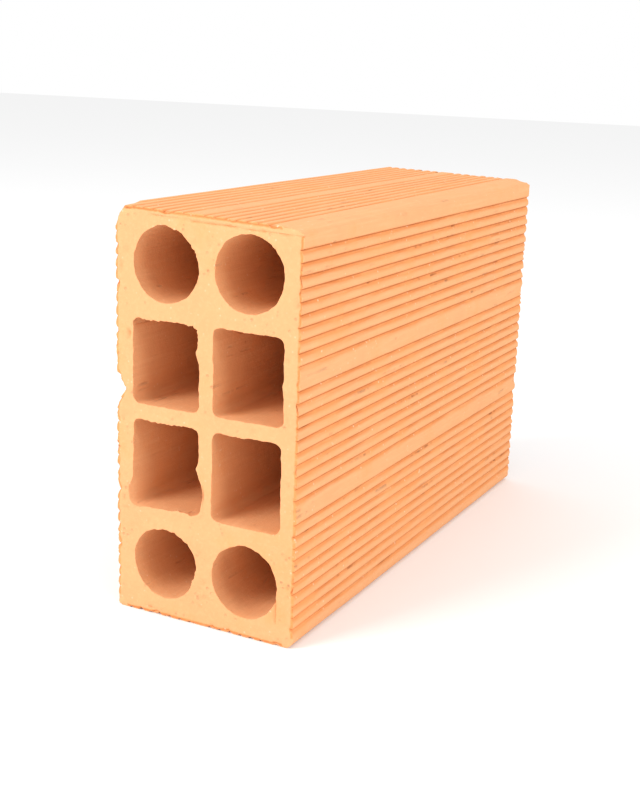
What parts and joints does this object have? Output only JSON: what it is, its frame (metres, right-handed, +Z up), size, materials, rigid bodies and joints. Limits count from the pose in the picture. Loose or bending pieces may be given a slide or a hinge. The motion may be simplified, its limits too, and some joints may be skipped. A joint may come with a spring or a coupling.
{
  "type": "hollow clay brick",
  "caption": "Fired clay hollow brick standing on a narrow long side: ribbed long faces and holes, round and squarish, running through its length.",
  "frame": {"origin": "centre of the underside, in plan, at the level it stands on", "axes": "+Z up; Y along the length and the holes, with the pictured wire-cut end at -Y; +X across the width, towards the ribbed side that the picture shows"},
  "size_m": [0.1, 0.3, 0.2],
  "materials": {
    "clay": "matt orange fired clay, unglazed, dusty and slightly rough"
  },
  "bodies": {
    "root": {"brick": "clay"}
  },
  "joints": []
}
